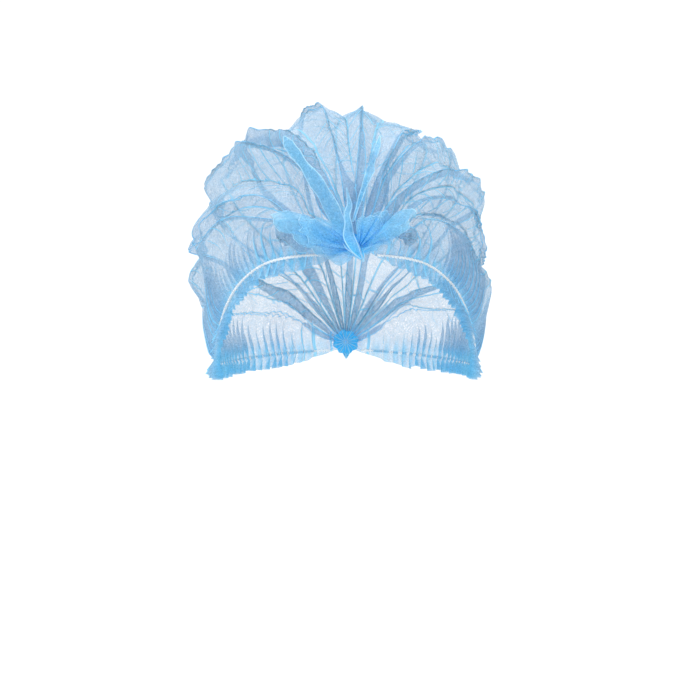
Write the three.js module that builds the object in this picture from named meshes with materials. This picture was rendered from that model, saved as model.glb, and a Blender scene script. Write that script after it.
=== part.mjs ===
import * as THREE from "three";
import { mergeVertices } from "three/addons/utils/BufferGeometryUtils.js";

// A disposable bouffant cap of thin nonwoven sheet, in the shape that it has on a head.
// The sheet is folded into pleats that run over the head from a pinched knot at the brow to a
// pinched knot at the nape. Along each side edge an elastic gathers it, and a short hem hangs
// below the elastic as a ruffle.
// Millimetres, +X to the right as seen from the front, +Y to the back of the head, +Z up.
// The origin is the spot inside the crown that rests on the top of the head.

// The head that the elastic hugs, and how far the edge lies below the top of the head
const headLength = 198;
const headWidth = 144;
const browDrop = 81;
const napeDrop = 132;
const earDrop = 140;

// The crown: its length from knot to knot, and its greatest reach from the line between them
const crownSlack = 14;
const crownLength = headLength + crownSlack;
const crownReach = 120;
const valleyDepth = 7;
const valleySteepness = 0.2; // and at most this share of the reach, near the knots
const bluffness = 0.84; // exponent of the sine that rounds the crown: under 1 is fuller than a ball
const dimpleDepth = 9; // how far each knot is drawn in
const dimpleRadius = 30;
const knotRise = 4; // the pleats meet this far above the elastic
const knotShift = 7; // and the brow knot sits this far off the middle

// The sheet, its gathers above the elastic and its hem below
const wall = 1;
const gatherDepth = 15;
const gatherFlare = 5.5;
const hemDepth = 8;
const hemFlare = 2.5;
const ruffleCount = 36;
const ruffleHeight = 1.9;
const knotNarrowing = 0.4; // the strip's depth at a knot, as a share of its full depth
const narrowStretch = 0.12; // and the share of the elastic's length that takes to widen out
const clearance = 0.4;
const elasticDiameter = 1.8;

// The pinched knots
const knotRadius = 9;
const knotLength = 12;
const knotPleats = 8;
const knotPleatDepth = 0.18; // as a share of knotRadius

// Number of steps in each mesh
const crownSteps = 42;
const stepsPerPanel = 2;
const stepCrowding = 0.7; // how much finer the steps are at the knots: 0 is even
const elasticSteps = 44;
const elasticSides = 6;

// The elastic's route on one side between the knots, as shares of half the head's width and
// length, and of the fall from the knot's height to the ear's
const browToEar = [
  { side: 0.29, along: -0.97, fall: 0.0 },
  { side: 0.57, along: -0.85, fall: 0.06 },
  { side: 0.77, along: -0.67, fall: 0.22 },
  { side: 0.9, along: -0.46, fall: 0.45 },
  { side: 0.97, along: -0.28, fall: 0.71 },
  { side: 1.0, along: -0.1, fall: 0.93 },
];
const earToNape = [
  { side: 1.0, along: 0.12, fall: 1.0 },
  { side: 0.94, along: 0.4, fall: 0.9 },
  { side: 0.78, along: 0.67, fall: 0.6 },
  { side: 0.53, along: 0.87, fall: 0.3 },
  { side: 0.29, along: 0.97, fall: 0.1 },
];

// Rows of the gathered strip: rise as a share of the gather's or the hem's depth, flare likewise,
// ruffle as a share of ruffleHeight
const stripRows = [
  { rise: -1, flare: 1, ruffle: 1 },
  { rise: 0, flare: 0, ruffle: 0.15 },
  { rise: 0.45, flare: 0.5, ruffle: 0.7 },
  { rise: 1, flare: 1, ruffle: 0 },
];
const elasticRow = 1;

// The ridges of the pleats from one edge over the top to the other
// turn: share of the way round from the top to an edge, at mid length
// reach: share of crownReach at mid length
// sway: how far the ridge wanders sideways on its way back, as a share of that turn
// lean: where the valley after it lies, as a share of the way to the next ridge
// dip: depth of that valley, as a share of valleyDepth
const ridges = [
  { turn: -0.84, reach: 0.75, sway: 0.01, lean: 0.4, dip: 0.9 },
  { turn: -0.69, reach: 0.83, sway: -0.02, lean: 0.6, dip: 1.7 },
  { turn: -0.48, reach: 0.91, sway: 0.02, lean: 0.35, dip: 0.8 },
  { turn: -0.33, reach: 0.935, sway: -0.03, lean: 0.6, dip: 1.1 },
  { turn: -0.15, reach: 0.91, sway: 0.02, lean: 0.6, dip: 0.8 },
  { turn: 0.03, reach: 0.885, sway: 0.01, lean: 0.4, dip: 0.6 },
  { turn: 0.2, reach: 0.85, sway: 0.03, lean: 0.5, dip: 0.8 },
  { turn: 0.35, reach: 0.845, sway: -0.02, lean: 0.55, dip: 1 },
  { turn: 0.49, reach: 0.82, sway: 0.02, lean: 0.5, dip: 0.7 },
  { turn: 0.66, reach: 0.71, sway: -0.01, lean: 0.4, dip: 1.1 },
  { turn: 0.84, reach: 0.65, sway: 0.01, lean: 0.5, dip: 1 },
];
const rimShare = 0.74; // beyond this share of the turn the crown runs in to the gathers

// Places where the slack sheet swells: the stem of pleats above the brow knot, the two lobes that
// hang over the gathers beside it, and the fold that runs up from it. Where each lies (turn, and
// share of the way from knot to knot), how far it spreads each way, and how far it moves in mm.
const swells = [
  { turn: -0.02, share: 0.05, turnSpread: 0.08, shareSpread: 0.05, forward: 7, down: 2 },
  { turn: -0.8, share: 0.07, turnSpread: 0.18, shareSpread: 0.07, forward: 10, down: 13 },
  { turn: 0.82, share: 0.06, turnSpread: 0.18, shareSpread: 0.05, forward: 9, down: 11 },
  { turn: -0.36, share: 0.2, turnSpread: 0.07, shareSpread: 0.12, forward: 6, down: 0 },
];

// A swell starts and is full at these shares of the way from the brow knot. It is full this share
// of the turn from an edge, where the sheet comes forward before it drops.
const swellStart = 0.02;
const swellFull = 0.08;
const swellEdge = 0.08;

// Rings of a knot from the crown outwards: how far out as a share of knotLength, half width and
// half height as shares of knotRadius, and how far it droops as a share of knotLength
const knotRings = [
  { out: -0.15, width: 0.9, height: 0.95, droop: 0 },
  { out: 0.15, width: 1, height: 1, droop: 0 },
  { out: 0.45, width: 0.62, height: 0.85, droop: 0.1 },
  { out: 0.8, width: 0.36, height: 0.7, droop: 0.3 },
  { out: 1, width: 0.22, height: 0.5, droop: 0.5 },
];

const sheetBlue = new THREE.MeshStandardMaterial({
  color: 0x8cc8ee,
  roughness: 0.75,
  metalness: 0,
});
const knotBlue = new THREE.MeshStandardMaterial({
  color: 0x3fa9ea,
  roughness: 0.7,
  metalness: 0,
});
const elasticWhite = new THREE.MeshStandardMaterial({
  color: 0xf2f7fa,
  roughness: 0.6,
  metalness: 0,
});

const mix = THREE.MathUtils.lerp;
const ease = THREE.MathUtils.smoothstep;
const bump = (distance, spread) => Math.exp(-((distance / spread) ** 2));

// The line between the knots, and the direction square to it that points up
const browKnot = new THREE.Vector3(knotShift, -crownLength / 2, -browDrop + knotRise);
const napeKnot = new THREE.Vector3(0, crownLength / 2, -napeDrop + knotRise);
const crownCentre = browKnot.clone().lerp(napeKnot, 0.5);
const halfSpan = browKnot.distanceTo(napeKnot) / 2;
const backward = napeKnot.clone().sub(browKnot).normalize();
const upward = new THREE.Vector3(1, 0, 0).cross(backward).normalize();
const sideways = backward.clone().cross(upward);

// The hole that the crown leaves for each knot
const holeRadius = knotRadius + clearance;

// The elastic's lines on the -X side and on the +X side, each from the brow to the nape
const rimLines = { left: rimLine(-1), right: rimLine(1) };

function rimLine(side) {
  const fromKnot = (knot, dropTo, along) =>
    new THREE.Vector3(knot.x + side * holeRadius, (along * headLength) / 2, -dropTo);
  const beside = (row, dropTo) =>
    new THREE.Vector3(
      (side * row.side * headWidth) / 2,
      (row.along * headLength) / 2,
      -mix(dropTo, earDrop, row.fall),
    );
  const points = [
    fromKnot(browKnot, browDrop, -1),
    ...browToEar.map((row) => beside(row, browDrop)),
    ...earToNape.map((row) => beside(row, napeDrop)),
    fromKnot(napeKnot, napeDrop, 1),
  ];
  return new THREE.CatmullRomCurve3(points, false, "centripetal");
}

// The strip narrows towards the knots
function fullness(share) {
  return mix(knotNarrowing, 1, ease(Math.min(share, 1 - share), 0, narrowStretch));
}

// The gathered strip's middle: row counts from the hem (0) over the elastic (1) to the crown
function gatheredStrip(side, share, row) {
  const line = side < 0 ? rimLines.left : rimLines.right;
  const at = line.getPointAt(share);
  const along = line.getTangentAt(share);
  const out = new THREE.Vector3(at.x / headWidth ** 2, at.y / headLength ** 2, 0).normalize();
  const up = along.clone().cross(out).multiplyScalar(-side).normalize();

  const first = Math.min(Math.floor(row), stripRows.length - 2);
  const [a, b] = [stripRows[first], stripRows[first + 1]];
  const part = row - first;
  const depth = (row > elasticRow ? gatherDepth : hemDepth) * fullness(share);
  const flare = (row > elasticRow ? gatherFlare : hemFlare) * fullness(share);
  const wave = Math.sin(Math.PI * (2 * ruffleCount * share + 0.5));
  return at
    .clone()
    .addScaledVector(up, depth * mix(a.rise, b.rise, part))
    .addScaledVector(out, flare * mix(a.flare, b.flare, part))
    .addScaledVector(out, ruffleHeight * mix(a.ruffle, b.ruffle, part) * wave);
}

// Creases of the crown from edge to edge: the ridges with a valley between each two
const creases = ridges.flatMap((ridge, i) => {
  const next = ridges[i + 1];
  const top = { ...ridge, dip: 0 };
  if (!next) return [top, { turn: 1, reach: ridge.reach, sway: 0, dip: 0 }];
  const valley = {
    turn: mix(ridge.turn, next.turn, ridge.lean),
    reach: mix(ridge.reach, next.reach, ridge.lean),
    sway: (ridge.sway + next.sway) / 2,
    dip: ridge.dip,
  };
  return [top, valley];
});
creases.unshift({ turn: -1, reach: ridges[0].reach, sway: 0, dip: 0 });

// A point of the crown: share runs from knot to knot, panel counts creases from the -X edge
function crownPoint(share, panel) {
  const first = Math.min(Math.floor(panel), creases.length - 2);
  const part = panel - first;
  const [a, b] = [creases[first], creases[first + 1]];
  const swing = Math.sin(2 * Math.PI * share);
  const turn = mix(a.turn + a.sway * swing, b.turn + b.sway * swing, part);
  const reach = mix(a.reach, b.reach, part) * crownReach;

  const edge = gatheredStrip(Math.sign(turn), share, stripRows.length - 1).sub(crownCentre);
  const edgeRadius = Math.hypot(edge.dot(sideways), edge.dot(upward));
  const edgeAngle = Math.abs(Math.atan2(edge.dot(sideways), edge.dot(upward)));

  const lengthwise = Math.cos(Math.PI * share);
  const ballRadius = mix(holeRadius, reach, Math.sin(Math.PI * share) ** bluffness);
  const deepest = Math.min(valleyDepth, valleySteepness * (ballRadius - holeRadius));
  const domeRadius = ballRadius - deepest * mix(a.dip, b.dip, part);
  const domeBack = -halfSpan * Math.sign(lengthwise) * Math.abs(lengthwise) ** bluffness;
  const nearRim = ease(Math.abs(turn), rimShare, 1);
  const radius = mix(domeRadius, edgeRadius, nearRim);
  const drawnIn = dimpleDepth * bump(radius - holeRadius, dimpleRadius) * (1 - nearRim);
  const back = mix(domeBack, edge.dot(backward), nearRim) + drawnIn * Math.sign(lengthwise);
  const angle = turn * edgeAngle;
  const point = crownCentre
    .clone()
    .addScaledVector(backward, back)
    .addScaledVector(sideways, radius * Math.sin(angle))
    .addScaledVector(upward, radius * Math.cos(angle));
  for (const swell of swells) {
    const near =
      bump(turn - swell.turn, swell.turnSpread) * bump(share - swell.share, swell.shareSpread);
    const free = near * ease(share, swellStart, swellFull);
    const fromEdge = 1 - Math.abs(turn);
    point.y -= swell.forward * free * ease(fromEdge, 0, swellEdge);
    point.z -= swell.down * free * ease(fromEdge, swellEdge / 2, swellEdge * 2);
  }
  return point;
}

// A closed sheet of the given wall: surface(u, v) is its middle, for u and v from 0 to 1.
// Both faces are split along the same diagonals, so that the wall keeps its thickness where the
// sheet is twisted.
function thickSheet(surface, stepsAcross, stepsAlong) {
  const small = 1e-3;
  const places = [];
  for (const offset of [wall / 2, -wall / 2]) {
    for (let row = 0; row <= stepsAlong; row++) {
      for (let column = 0; column <= stepsAcross; column++) {
        const [u, v] = [column / stepsAcross, row / stepsAlong];
        const across = surface(Math.min(u + small, 1), v).sub(surface(Math.max(u - small, 0), v));
        const along = surface(u, Math.min(v + small, 1)).sub(surface(u, Math.max(v - small, 0)));
        const normal = across.cross(along).normalize();
        places.push(...surface(u, v).addScaledVector(normal, offset).toArray());
      }
    }
  }

  const inner = (stepsAcross + 1) * (stepsAlong + 1);
  const outerAt = (column, row) => row * (stepsAcross + 1) + column;
  const innerAt = (column, row) => inner + outerAt(column, row);
  const faces = [];
  const addFace = (a, b, c, d) => faces.push(a, b, c, a, c, d);
  const closeEdge = (a, b) => addFace(innerAt(...a), innerAt(...b), outerAt(...b), outerAt(...a));
  for (let column = 0; column < stepsAcross; column++) {
    for (let row = 0; row < stepsAlong; row++) {
      const corners = [
        [column, row],
        [column + 1, row],
        [column + 1, row + 1],
        [column, row + 1],
      ];
      addFace(...corners.map((corner) => outerAt(...corner)));
      addFace(...[0, 3, 2, 1].map((i) => innerAt(...corners[i])));
    }
    closeEdge([column, 0], [column + 1, 0]);
    closeEdge([column + 1, stepsAlong], [column, stepsAlong]);
  }
  for (let row = 0; row < stepsAlong; row++) {
    closeEdge([0, row + 1], [0, row]);
    closeEdge([stepsAcross, row], [stepsAcross, row + 1]);
  }

  const geometry = new THREE.BufferGeometry();
  geometry.setAttribute("position", new THREE.Float32BufferAttribute(places, 3));
  geometry.setIndex(faces);
  return geometry;
}

function crown() {
  const panels = creases.length - 1;
  const surface = (u, v) => {
    const share = v - (stepCrowding * Math.sin(2 * Math.PI * v)) / (2 * Math.PI);
    return crownPoint(share, u * panels);
  };
  const mesh = new THREE.Mesh(thickSheet(surface, panels * stepsPerPanel, crownSteps), sheetBlue);
  mesh.name = "crown";
  return mesh;
}

function rim(side, name) {
  const rows = stripRows.length - 1;
  const topRise = (stripRows[rows].rise - stripRows[rows - 1].rise) * gatherDepth;
  const surface = (u, v) => {
    const share = side < 0 ? 1 - v : v;
    const gap = (clearance + wall / 2) / (topRise * fullness(share));
    const row = rows * u;
    return gatheredStrip(side, share, row - Math.max(0, row - rows + 1) * gap);
  };
  const mesh = new THREE.Mesh(thickSheet(surface, rows, ruffleCount * 2), sheetBlue);
  mesh.name = name;
  return mesh;
}

function elastic(side, name) {
  const outside = wall / 2 + ruffleHeight * 0.5 + clearance + elasticDiameter / 2;
  const points = [];
  for (let i = 0; i <= elasticSteps; i++) {
    const at = gatheredStrip(side, i / elasticSteps, elasticRow);
    const out = new THREE.Vector3(at.x / headWidth ** 2, at.y / headLength ** 2, 0).normalize();
    points.push(at.addScaledVector(out, outside));
  }
  const line = new THREE.CatmullRomCurve3(points);
  const tube = new THREE.TubeGeometry(line, elasticSteps, elasticDiameter / 2, elasticSides);
  const mesh = new THREE.Mesh(closedTube(tube, elasticSteps, elasticSides), elasticWhite);
  mesh.name = name;
  return mesh;
}

// A tube with a flat face at each end
function closedTube(tube, steps, sides) {
  tube.deleteAttribute("normal");
  tube.deleteAttribute("uv");
  const faces = Array.from(tube.index.array);
  const lastRing = steps * (sides + 1);
  for (let i = 1; i < sides - 1; i++) {
    faces.push(0, i, i + 1);
    faces.push(lastRing, lastRing + i + 1, lastRing + i);
  }
  tube.setIndex(faces);
  return mergeVertices(tube, 1e-4);
}

// A pinched bundle of pleats that stands out from the crown at a knot
function knot(pole, outSign, name) {
  const sides = knotPleats * 2;
  const places = [];
  const faces = [];
  knotRings.forEach((ring, level) => {
    const middle = pole
      .clone()
      .addScaledVector(backward, outSign * (knotLength * ring.out - dimpleDepth));
    middle.z -= knotLength * ring.droop;
    for (let i = 0; i < sides; i++) {
      const angle = (2 * Math.PI * i) / sides;
      const pleat = knotRadius * (i % 2 ? 1 : 1 - knotPleatDepth);
      const point = middle
        .clone()
        .addScaledVector(sideways, pleat * ring.width * Math.cos(angle))
        .addScaledVector(upward, pleat * ring.height * Math.sin(angle));
      places.push(...point.toArray());
      if (level === 0) continue;
      const [below, next] = [(level - 1) * sides, (i + 1) % sides];
      const above = level * sides;
      faces.push(below + i, above + i, above + next, below + i, above + next, below + next);
    }
  });
  const lastRing = (knotRings.length - 1) * sides;
  for (let i = 1; i < sides - 1; i++) {
    faces.push(0, i, i + 1, lastRing, lastRing + i + 1, lastRing + i);
  }
  if (outSign < 0) faces.reverse();
  const geometry = new THREE.BufferGeometry();
  geometry.setAttribute("position", new THREE.Float32BufferAttribute(places, 3));
  geometry.setIndex(faces);
  const mesh = new THREE.Mesh(geometry, knotBlue);
  mesh.name = name;
  return mesh;
}

const group = new THREE.Group();
group.add(crown());
group.add(rim(-1, "rim_left"));
group.add(rim(1, "rim_right"));
group.add(elastic(-1, "elastic_left"));
group.add(elastic(1, "elastic_right"));
group.add(knot(browKnot, -1, "front_knot"));
group.add(knot(napeKnot, 1, "rear_knot"));

export default group;
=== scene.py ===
import math

import bpy
import numpy as np
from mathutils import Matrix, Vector, noise


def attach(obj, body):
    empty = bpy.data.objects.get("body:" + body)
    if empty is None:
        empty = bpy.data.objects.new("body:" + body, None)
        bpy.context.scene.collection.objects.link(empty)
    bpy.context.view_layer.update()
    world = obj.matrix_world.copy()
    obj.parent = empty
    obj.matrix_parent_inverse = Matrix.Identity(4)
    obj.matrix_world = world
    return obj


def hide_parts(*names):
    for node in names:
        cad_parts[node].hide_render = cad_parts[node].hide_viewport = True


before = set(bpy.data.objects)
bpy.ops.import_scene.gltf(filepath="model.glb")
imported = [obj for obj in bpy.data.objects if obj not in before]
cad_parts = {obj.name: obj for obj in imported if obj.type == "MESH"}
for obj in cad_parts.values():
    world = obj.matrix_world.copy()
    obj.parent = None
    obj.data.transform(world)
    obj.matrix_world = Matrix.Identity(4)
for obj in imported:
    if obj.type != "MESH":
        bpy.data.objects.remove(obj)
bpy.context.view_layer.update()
mm = 0.001  # sizes below are in millimetres unless they say metres, and the meshes are in metres

# camera at the photo's angle: level, straight from the front
photo = {"place": (2.5, -1700, -132), "pixelsPerRadian": 2974, "imageWidth": 700, "sensor": 36}
camera = bpy.data.objects.new("camera", bpy.data.cameras.new("camera"))
camera.location = Vector(photo["place"]) * mm
camera.rotation_euler = (math.pi / 2, 0, 0)
camera.data.sensor_width = photo["sensor"]
camera.data.lens = photo["pixelsPerRadian"] / photo["imageWidth"] * photo["sensor"]
camera.data.clip_end = 20
bpy.context.scene.collection.objects.link(camera)
bpy.context.scene.camera = camera

# the opening that the elastic runs round, and the crown over it, as in the frame's solids
cap = {
    "headLength": 198,
    "headWidth": 144,
    "browDrop": 81,
    "napeDrop": 132,
    "earDrop": 140,
    "crownLength": 212,
    "crownReach": 120,
    "bluffness": 0.84,
    "dimpleDepth": 9,
    "dimpleRadius": 30,
    "knotRise": 4,
    "knotShift": 7,
    "knotRadius": 9.4,
    "rimShare": 0.74,
}

# the elastic's route on one side: side, along, fall
browToEar = [
    (0.29, -0.97, 0.0),
    (0.57, -0.85, 0.06),
    (0.77, -0.67, 0.22),
    (0.9, -0.46, 0.45),
    (0.97, -0.28, 0.71),
    (1.0, -0.1, 0.93),
]
earToNape = [
    (1.0, 0.12, 1.0),
    (0.94, 0.4, 0.9),
    (0.78, 0.67, 0.6),
    (0.53, 0.87, 0.3),
    (0.29, 0.97, 0.1),
]

# gathers above the elastic and the ruffled hem below it
strip = {
    "gatherDepth": 15,
    "gatherFlare": 5.5,
    "hemDepth": 8,
    "hemFlare": 2.5,
    "gathers": 54,
    "narrowing": 0.4,
    "narrowStretch": 0.12,
    "rise": (-1, 0, 0.45, 1),
    "flare": (1, 0, 0.5, 1),
    "rippleHeight": 2.7,
    "scallop": 1.3,
    "ragged": 2.4,
    "ruffleStart": 0.3,  # the ripples' share of their height on the elastic
    "ruffleGain": (1.2, 0.75),  # what they gain towards the hem and towards the crown
    "jitter": 1.8,
    "fade": 20,  # how far above the strip the gathers run out
}

# pleats from the left edge (turn -1) over the top to the right one (turn 1). reach is the ridge's
# share of crownReach, sway bends it, lean says where the valley after it lies and dip how deep.
# fold is the width of the folded-over cloth half way back, knotFold at a knot, opens the share of
# the way over which it opens out, over is 1 where the fold's edge looks right, and fin is how far
# it stands up near the brow knot
pleats = [
    {"turn": -0.84, "reach": 0.75, "sway": 0.01, "lean": 0.4, "dip": 0.9,
     "fold": 2, "knotFold": 5, "opens": 0.1, "over": 1, "fin": 0},
    {"turn": -0.69, "reach": 0.83, "sway": -0.02, "lean": 0.6, "dip": 1.7,
     "fold": 2.5, "knotFold": 5, "opens": 0.11, "over": -1, "fin": 1},
    {"turn": -0.48, "reach": 0.91, "sway": 0.02, "lean": 0.35, "dip": 0.8,
     "fold": 1.6, "knotFold": 4.5, "opens": 0.09, "over": 1, "fin": 0},
    {"turn": -0.33, "reach": 0.918, "sway": -0.03, "lean": 0.6, "dip": 1.1,
     "fold": 3.5, "knotFold": 15, "opens": 0.34, "over": 1, "fin": 4},
    {"turn": -0.15, "reach": 0.91, "sway": 0.02, "lean": 0.6, "dip": 0.8,
     "fold": 1.5, "knotFold": 4.5, "opens": 0.1, "over": -1, "fin": 0},
    {"turn": 0.03, "reach": 0.885, "sway": 0.01, "lean": 0.4, "dip": 0.6,
     "fold": 1.8, "knotFold": 4.5, "opens": 0.15, "over": 1, "fin": 5},
    {"turn": 0.2, "reach": 0.85, "sway": 0.03, "lean": 0.5, "dip": 0.8,
     "fold": 2.5, "knotFold": 4.5, "opens": 0.1, "over": 1, "fin": 0},
    {"turn": 0.35, "reach": 0.845, "sway": -0.02, "lean": 0.55, "dip": 1,
     "fold": 1.5, "knotFold": 5, "opens": 0.12, "over": -1, "fin": 2},
    {"turn": 0.49, "reach": 0.82, "sway": 0.02, "lean": 0.5, "dip": 0.7,
     "fold": 2.2, "knotFold": 4.5, "opens": 0.1, "over": -1, "fin": 0},
    {"turn": 0.66, "reach": 0.71, "sway": -0.01, "lean": 0.4, "dip": 1.1,
     "fold": 2, "knotFold": 5, "opens": 0.11, "over": 1, "fin": 1},
    {"turn": 0.84, "reach": 0.65, "sway": 0.01, "lean": 0.5, "dip": 1,
     "fold": 2, "knotFold": 5, "opens": 0.1, "over": -1, "fin": 0},
]

# where the slack sheet swells: turn, share, turnSpread, shareSpread, forward, down
swells = [
    (-0.02, 0.05, 0.08, 0.05, 7, 2),
    (-0.8, 0.07, 0.18, 0.07, 10, 13),
    (0.82, 0.06, 0.18, 0.05, 9, 11),
    (-0.36, 0.2, 0.07, 0.12, 6, 0),
]

sheet = {
    "rows": 388,
    "rowCrowding": 0.2,
    "crownColumns": 214,
    "hemColumns": 6,
    "gatherColumns": 10,
    "valleyDepth": 8.5,
    "valleySteepness": 0.25,
    "knotValley": 0.9,  # how deep the valleys are at the knots
    "kink": 0.085,
    "layerGap": 1.1,
    "pinchShare": 0.045,
    "pinchTo": 0.35,
    "pinchOut": 7,
    "cut": (0.48, 0.39),  # metres
    "crumpleSize": (40, 17),
    "crumpleHeight": (5.5, 1.5),
    "pressPitch": 9.5,
    "pressSlant": 1.15,
    "pressHeight": 0.55,
    "pressReach": (25, 45),  # how far from its ridge a pressed crease fades
    "creaseSteepness": (0.008, 0.02),  # flatter stretches of the crumple show no crease
}


def ease(x, start, end):
    t = np.clip((x - start) / (end - start), 0, 1)
    return t * t * (3 - 2 * t)


def bump(distance, spread):
    return np.exp(-((distance / spread) ** 2))


def unit(v):
    return v / np.maximum(np.linalg.norm(v, axis=-1, keepdims=True), 1e-9)


browKnot = np.array([cap["knotShift"], -cap["crownLength"] / 2, cap["knotRise"] - cap["browDrop"]])
napeKnot = np.array([0, cap["crownLength"] / 2, cap["knotRise"] - cap["napeDrop"]])
crownCentre = (browKnot + napeKnot) / 2
halfSpan = np.linalg.norm(napeKnot - browKnot) / 2
backward = unit(napeKnot - browKnot)
upward = unit(np.cross([1, 0, 0], backward))
sideways = np.cross(backward, upward)


# points and tangents along one side's elastic, by share of its length
def elasticLine(side):
    def beside(row, drop):
        across, along, fall = row
        fallen = drop + (cap["earDrop"] - drop) * fall
        return (side * across * cap["headWidth"] / 2, along * cap["headLength"] / 2, -fallen)

    brow = (browKnot[0] + side * cap["knotRadius"], -cap["headLength"] / 2, -cap["browDrop"])
    nape = (napeKnot[0] + side * cap["knotRadius"], cap["headLength"] / 2, -cap["napeDrop"])
    stops = np.array(
        [brow]
        + [beside(row, cap["browDrop"]) for row in browToEar]
        + [beside(row, cap["napeDrop"]) for row in earToNape]
        + [nape]
    )
    stops = np.vstack([2 * stops[0] - stops[1], stops, 2 * stops[-1] - stops[-2]])
    places = []
    for a, b, c, d in zip(stops, stops[1:], stops[2:], stops[3:]):
        before, here, after = (math.sqrt(np.linalg.norm(q - p)) for p, q in ((a, b), (b, c), (c, d)))
        slopeB = ((b - a) / before - (c - a) / (before + here) + (c - b) / here) * here
        slopeC = ((c - b) / here - (d - b) / (here + after) + (d - c) / after) * here
        for t in np.arange(0, 1, 1 / 60):
            places.append(
                b + slopeB * t + (3 * c - 3 * b - 2 * slopeB - slopeC) * t**2
                + (2 * b - 2 * c + slopeB + slopeC) * t**3
            )
    places = np.array(places + [stops[-2]])
    gone = np.r_[0, np.cumsum(np.linalg.norm(np.diff(places, axis=0), axis=1))]
    return gone / gone[-1], places, unit(np.gradient(places, gone, axis=0))


elasticLines = {-1: elasticLine(-1), 1: elasticLine(1)}


def alongElastic(side, share):
    known, places, tangents = elasticLines[side]
    at = np.stack([np.interp(share, known, places[:, k]) for k in range(3)], -1)
    along = unit(np.stack([np.interp(share, known, tangents[:, k]) for k in range(3)], -1))
    out = at / np.array([cap["headWidth"] ** 2, cap["headLength"] ** 2, 1])
    out[..., 2] = 0
    out = unit(out)
    return at, out, unit(-side * np.cross(along, out))


def fullness(share):
    return strip["narrowing"] + (1 - strip["narrowing"]) * ease(
        np.minimum(share, 1 - share), 0, strip["narrowStretch"]
    )


# the gathered strip without its ripples: row runs from the hem (0) to the crown (3)
def stripPoint(side, share, row):
    at, out, up = alongElastic(side, share)
    above = np.broadcast_to(row, share.shape)
    depth = np.where(above > 1, strip["gatherDepth"], strip["hemDepth"]) * fullness(share)
    flare = np.where(above > 1, strip["gatherFlare"], strip["hemFlare"]) * fullness(share)
    rise = np.interp(above, range(4), strip["rise"])
    lean = np.interp(above, range(4), strip["flare"])
    return at + up * (depth * rise)[..., None] + out * (flare * lean)[..., None]


# the crown without its pleats, for a column of shares and a row of turns
def dome(share, turn):
    share, turn = np.broadcast_arrays(share[:, None], np.atleast_1d(turn)[None, :])
    edges = {side: stripPoint(side, share[:, 0], 3.0) - crownCentre for side in (-1, 1)}
    edge = np.where((turn < 0)[..., None], edges[-1][:, None], edges[1][:, None])
    edgeSide, edgeUp = edge @ sideways, edge @ upward
    edgeRadius, edgeAngle = np.hypot(edgeSide, edgeUp), np.abs(np.arctan2(edgeSide, edgeUp))
    reachTurns = [-1] + [p["turn"] for p in pleats] + [1]
    reaches = [p["reach"] for p in pleats]
    reach = np.interp(turn, reachTurns, [reaches[0]] + reaches + [reaches[-1]]) * cap["crownReach"]

    lengthwise = np.cos(np.pi * share)
    bulge = np.clip(np.sin(np.pi * share), 0, 1) ** cap["bluffness"]
    domeRadius = cap["knotRadius"] + (reach - cap["knotRadius"]) * bulge
    domeBack = -halfSpan * np.sign(lengthwise) * np.abs(lengthwise) ** cap["bluffness"]
    nearRim = ease(np.abs(turn), cap["rimShare"], 1)
    radius = domeRadius + (edgeRadius - domeRadius) * nearRim
    drawnIn = cap["dimpleDepth"] * bump(radius - cap["knotRadius"], cap["dimpleRadius"]) * (1 - nearRim)
    back = domeBack + (edge @ backward - domeBack) * nearRim + drawnIn * np.sign(lengthwise)
    angle = turn * edgeAngle
    point = (
        crownCentre
        + backward * back[..., None]
        + sideways * (radius * np.sin(angle))[..., None]
        + upward * (radius * np.cos(angle))[..., None]
    )
    fromEdge = 1 - np.abs(turn)
    for atTurn, atShare, turnSpread, shareSpread, forward, down in swells:
        free = bump(turn - atTurn, turnSpread) * bump(share - atShare, shareSpread) * ease(share, 0.02, 0.08)
        point[..., 1] -= forward * free * ease(fromEdge, 0, 0.08)
        point[..., 2] -= down * free * ease(fromEdge, 0.02, 0.26)
    return point, radius, edgeAngle


# how far the gathers stand out along one edge, about -1 to 1, and how long each one is
def gatherRipple(side, share):
    drift = np.array([noise.noise(Vector((s * 11, side * 7.3, 2.1))) for s in share])
    reach = np.array([noise.noise(Vector((s * 23, side * 3.1, 9.4))) for s in share])
    phase = np.pi * (2 * strip["gathers"] * share + 0.5) + strip["jitter"] * np.pi * drift
    wave = np.sin(phase)
    pinched = 2 * ((1 + wave) / 2) ** 1.5 - 0.9
    return pinched * (0.85 + 0.5 * reach), 1 + 0.9 * reach


rowSteps = np.linspace(0, 1, sheet["rows"] + 1)
shares = rowSteps - sheet["rowCrowding"] * np.sin(2 * np.pi * rowSteps) / (2 * np.pi)


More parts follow.
